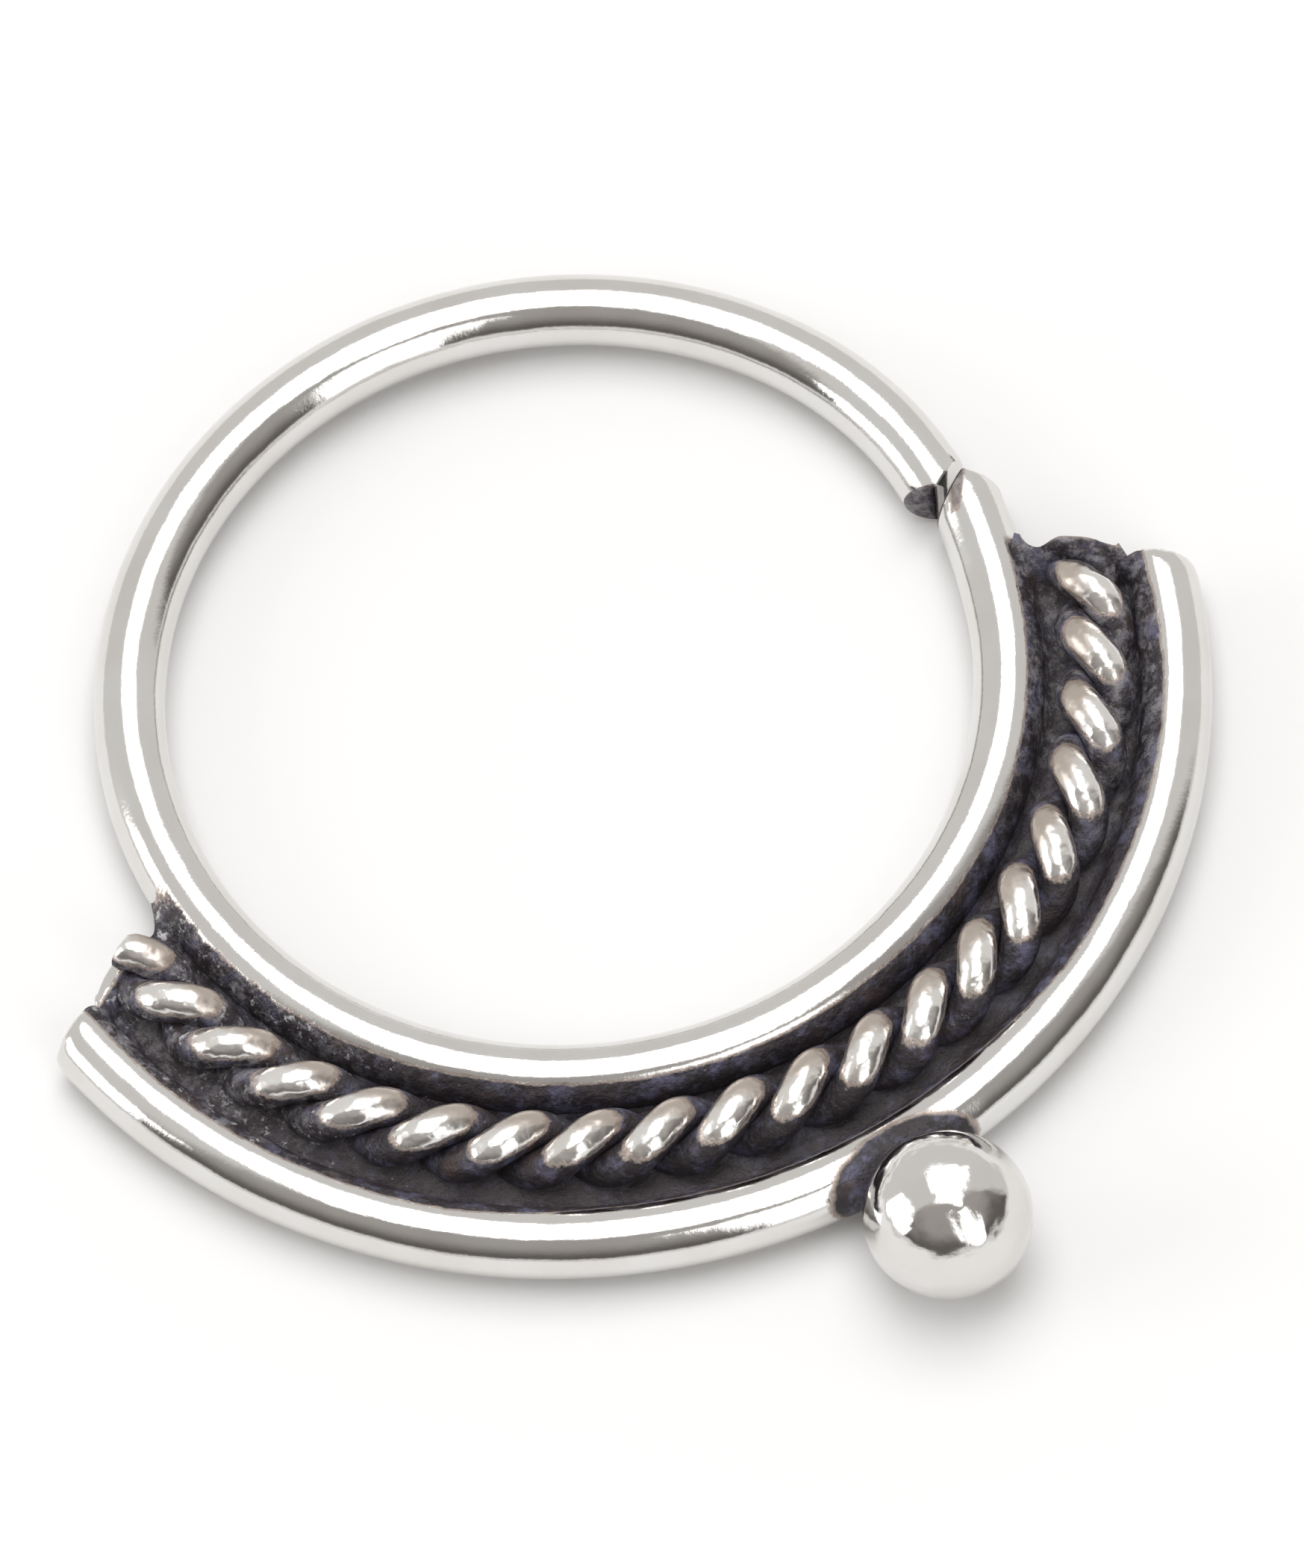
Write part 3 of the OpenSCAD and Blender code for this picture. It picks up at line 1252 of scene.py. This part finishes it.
@dataclass
class TwistedWire:
    """Two round wires twisted together and bent along the middle of the crescent.

    A pair is for the two strands: how far each is cut back from the panel's left and right end cuts.
    """

    layout: Layout = LAYOUT
    strand_r: float = 0.228
    helix_r: float = 0.215
    pitch: float = 1.67
    phase: float = 41.0
    start_back: Pair = (-0.07, 0.06)
    end_back: Pair = (0.0, 0.26)
    past_cut: float = 0.6
    sides: int = 28
    steps_a_turn: int = 44
    rounding: float = 0.15
    shine_from: float = 0.285

    def section(self, bearing: float, half_turn: float) -> Matrix:
        """Place of a strand's section.

        Args:
            bearing: Bearing of the section's place along the twist, in degrees.
            half_turn: Turn between the two strands, 0 or 180 degrees.

        Returns:
            The matrix from the section's own plane, whose X axis points away from the twist's axis.
        """
        lay = self.layout
        arc = math.radians(bearing) * lay.twist_r
        turn = math.radians(self.phase + half_turn) + 2 * math.pi * arc / self.pitch
        radial = heading(bearing)
        out = math.cos(turn) * radial + math.sin(turn) * UP
        side = math.cos(turn) * UP - math.sin(turn) * radial
        middle = lay.twist_r * radial + lay.twist_z * UP + self.helix_r * out
        run = UP.cross(radial) * (1 + self.helix_r * math.cos(turn) / lay.twist_r)
        run = (run + side * (2 * math.pi * self.helix_r / self.pitch)).normalized()
        return placed(middle, out, run.cross(out), run)

    def oxide(self, shader: Shader) -> Value:
        """The twist is blackened but for the crests that a flat buff reaches."""
        height = shader.z - self.layout.twist_z + shader.grain(0.16, 5.0, 0.75, 29.0) * 0.085
        return height.rise(self.shine_from + 0.035, self.shine_from - 0.035)

    def build(self) -> list[Object]:
        """Builds and dresses the two strands.

        Returns:
            The finished pieces.
        """
        finish = silver_with_patina("twist_silver", self.oxide, TWIST_SILVER)
        lay = self.layout
        arc = math.radians(lay.panel_end_at + lay.panel_far_end_at)
        steps = math.ceil(arc * lay.twist_r / self.pitch * self.steps_a_turn)
        made = []
        for i, name in enumerate(("twist_strand_a", "twist_strand_b")):
            piece = Piece(name)
            half_turn = 180.0 * i
            past = math.degrees(self.past_cut / lay.twist_r)
            start = -lay.panel_far_end_at - past
            end = lay.panel_end_at + past
            places = [
                self.section(start + (end - start) * step / steps, half_turn)
                for step in range(steps + 1)
            ]
            edges = piece.ring(self.strand_r, self.sides, places[0])
            for old, new in zip(places, places[1:]):
                edges = piece.extrude(edges, new @ old.inverted())
            for side, back in ((-1, self.start_back[i]), (1, self.end_back[i])):
                point, normal = lay.end_cut(side)
                for cap in piece.cut(point - back * normal, normal):
                    piece.round_end(cap, self.rounding, 8)
            piece.roughen(0.008, 0.35, Vector((5, 8, half_turn)))
            made.append(piece.finish(finish, Slot.SILVER))
        return made


@dataclass(frozen=True)
class NeckRing:
    """One ring of the solder neck: its distance from the joint towards the ball, and its half sizes."""

    out: float
    along: float
    across: float


@dataclass
class Ball:
    """The ball and the solder neck that joins it to the outer wire."""

    layout: Layout = LAYOUT
    around: int = 112
    upward: int = 72
    neck: tuple[NeckRing, ...] = (
        NeckRing(0.26, 0.60, 0.60),
        NeckRing(0.15, 0.50, 0.50),
        NeckRing(0.06, 0.41, 0.37),
        NeckRing(-0.02, 0.42, 0.33),
        NeckRing(-0.09, 0.50, 0.31),
        NeckRing(-0.20, 0.68, 0.30),
    )

    def oxide(self, shader: Shader) -> Value:
        """Where the ball is blackened: close to the solder that holds it."""
        reach = shader.distance(self.joint()) + shader.grain(0.2, 3.0, 0.6, 41.0) * 0.08
        return reach.rise(0.62, 0.50)

    def joint(self) -> Vector:
        """Where the ball touches the outer wire."""
        centre = self.layout.ball_centre
        return centre + self.layout.ball_r * (self.layout.wire_at_ball - centre).normalized()

    def all_oxide(self, shader: Shader) -> Value:
        """The solder is blackened all over, but for small worn spots."""
        return 1 - shader.grain(0.15, 3.0, 0.6, 53.0).rise(0.35, 0.6) * 0.5

    def build(self) -> list[Object]:
        """Builds and dresses the ball and its neck.

        Returns:
            The finished pieces.
        """
        lay = self.layout
        ball = Piece("ball")
        bmesh.ops.create_uvsphere(
            ball.bm,
            u_segments=self.around,
            v_segments=self.upward,
            radius=lay.ball_r,
            matrix=Matrix.Translation(lay.ball_centre),
        )
        ball.roughen(0.012, 0.7, Vector((2, 6, 1)))
        neck = Piece("ball_solder")
        axis = (lay.ball_centre - lay.wire_at_ball).normalized()
        along = UP.cross(heading(lay.ball_at))
        places = [
            placed(self.joint() + ring.out * axis, along, axis.cross(along), axis)
            @ Matrix.Diagonal((ring.along, ring.across, 1, 1))
            for ring in self.neck
        ]
        edges = neck.ring(1.0, 32, places[0])
        for old, new in zip(places, places[1:]):
            edges = neck.extrude(edges, new @ old.inverted())
        neck.close_ends()
        solder = neck.finish(silver_with_patina("solder_oxide", self.all_oxide), Slot.OXIDISED)
        smooth = solder.modifiers.new("smooth", "SUBSURF")
        smooth.levels = smooth.render_levels = 2
        return [
            ball.finish(silver_with_patina("ball_silver", self.oxide, BALL_SILVER), Slot.SILVER),
            solder,
        ]


@dataclass(frozen=True)
class Softbox:
    """A soft lamp aimed at the ring: its bearing and height in degrees, its sizes in metres."""

    name: str
    azimuth: float
    elevation: float
    width: float
    height: float
    radiance: float
    distance: float = 3.0

    def light(self) -> None:
        """Adds the lamp."""
        data = bpy.data.lights.new(self.name, "AREA")
        data.shape = "RECTANGLE"
        data.size, data.size_y = self.width, self.height
        data.energy = self.radiance * math.pi * self.width * self.height
        lamp = bpy.data.objects.new(self.name, data)
        back = toward(self.azimuth, self.elevation)
        lamp.location = back * self.distance
        lamp.rotation_mode = "QUATERNION"
        lamp.rotation_quaternion = back.to_track_quat("Z", "Y")
        bpy.context.scene.collection.objects.link(lamp)


def toward(azimuth: float, elevation: float) -> Vector:
    """Direction from the ring to a place seen at an azimuth and elevation.

    Args:
        azimuth: 0 is in front of the panel, towards -Y, and 90 is towards +X.
        elevation: Height above the floor, in degrees.

    Returns:
        The direction.
    """
    return heading(azimuth) * math.cos(math.radians(elevation)) + UP * math.sin(
        math.radians(elevation)
    )


@dataclass
class Studio:
    """The pale floor, the soft lamps and the camera."""

    layout: Layout = LAYOUT
    azimuth: float = -18.7
    elevation: float = 61.0
    roll: float = 6.11
    image_w: int = 1747
    image_h: int = 2100
    pixels_a_mm: float = 120.4
    ring_x: float = 762.4
    ring_y: float = 928.8
    lens: float = 1000.0
    sensor: float = 36.0
    floor_size: float = 4.0
    floor_colour: Colour = (0.86, 0.86, 0.86, 1.0)
    boxes: tuple[Softbox, ...] = (
        Softbox("top_box", 155.0, 79.0, 2.2, 3.0, 2.5),
        Softbox("left_box", -107.0, 22.0, 1.9, 1.5, 2.4),
        Softbox("front_box", 14.0, 34.0, 1.5, 3.0, 1.5),
    )
    sky_back: Colour = (0.74, 0.725, 0.705, 1.0)
    sky_front: Colour = (0.13, 0.118, 0.11, 1.0)
    sky_camera: Colour = (0.42, 0.40, 0.38, 1.0)
    sky_horizon: Colour = (0.80, 0.79, 0.78, 1.0)
    dark_side_at: float = -3.7
    dark_below: Pair = (0.85, 0.2)
    horizon_below: Pair = (0.17, 0.09)
    front_from: Pair = (-0.05, 0.14)

    def camera(self) -> None:
        """Adds the camera, at the photo's angle and framing."""
        back = toward(self.azimuth, self.elevation)
        right = -back.cross(UP).normalized()
        up = back.cross(right)
        roll = math.radians(self.roll)
        right, up = (
            math.cos(roll) * right - math.sin(roll) * up,
            math.sin(roll) * right + math.cos(roll) * up,
        )
        off_x = (self.image_w / 2 - self.ring_x) / self.pixels_a_mm * MM
        off_y = (self.ring_y - self.image_h / 2) / self.pixels_a_mm * MM
        data = bpy.data.cameras.new("photo_camera")
        data.lens, data.sensor_width = self.lens, self.sensor
        far = self.image_h / self.pixels_a_mm * MM * self.lens / self.sensor
        data.clip_start, data.clip_end = far / 50, far * 20
        seen_from = right * off_x + up * off_y + back * far
        camera = bpy.data.objects.new("photo_camera", data)
        camera.matrix_world = placed(seen_from, right, up, back)
        bpy.context.scene.collection.objects.link(camera)
        bpy.context.scene.camera = camera

    def floor(self) -> None:
        """Adds the floor under the ring."""
        bm = bmesh.new()
        bmesh.ops.create_grid(bm, x_segments=4, y_segments=4, size=self.floor_size)
        level = self.layout.plate_bottom_z * MM
        bmesh.ops.translate(bm, vec=level * UP, verts=bm.verts)
        mesh = bpy.data.meshes.new("floor")
        bm.to_mesh(mesh)
        bm.free()
        paper = bpy.data.materials.new("floor_paper")
        shader = Shader(paper)
        shader.surface(
            {"Base Color": self.floor_colour, "Roughness": 0.9, "Specular IOR Level": 0.1}
        )
        mesh.materials.append(paper)
        floor = bpy.data.objects.new("floor", mesh)
        bpy.context.scene.collection.objects.link(floor)

    def sky(self) -> None:
        """Sets the room's light: bright and warm behind the ring, dark low down in front of it."""
        world = bpy.data.worlds.new("room")
        bpy.context.scene.world = world
        room = Shader(world)
        ahead = heading(self.dark_side_at)
        front = room.x * ahead.x + room.y * ahead.y
        low = room.z.rise(*self.dark_below)
        ahead_colour = room.blend(low, self.sky_camera, self.sky_front)
        horizon = room.z.rise(*self.horizon_below)
        ahead_colour = room.blend(horizon, ahead_colour, self.sky_horizon)
        colour = room.blend(front.rise(*self.front_from), self.sky_back, ahead_colour)
        background = room.node("ShaderNodeBackground", {}, {"Color": colour, "Strength": 1.0})
        room.node("ShaderNodeOutputWorld", {}, {"Surface": background.outputs[0]})

    def build(self) -> None:
        """Adds the floor, the lamps, the room's light and the camera."""
        self.floor()
        for box in self.boxes:
            box.light()
        self.sky()
        self.camera()
        bpy.context.scene.view_settings.view_transform = "Standard"


def main() -> None:
    """Builds the ring's pieces in order, then the studio."""
    logging.basicConfig(level=logging.INFO, format="%(message)s")
    RingWire().build()
    BackPlate().build()
    OuterWire().build()
    TwistedWire().build()
    Ball().build()
    Studio().build()


if __name__ == "__main__":
    main()
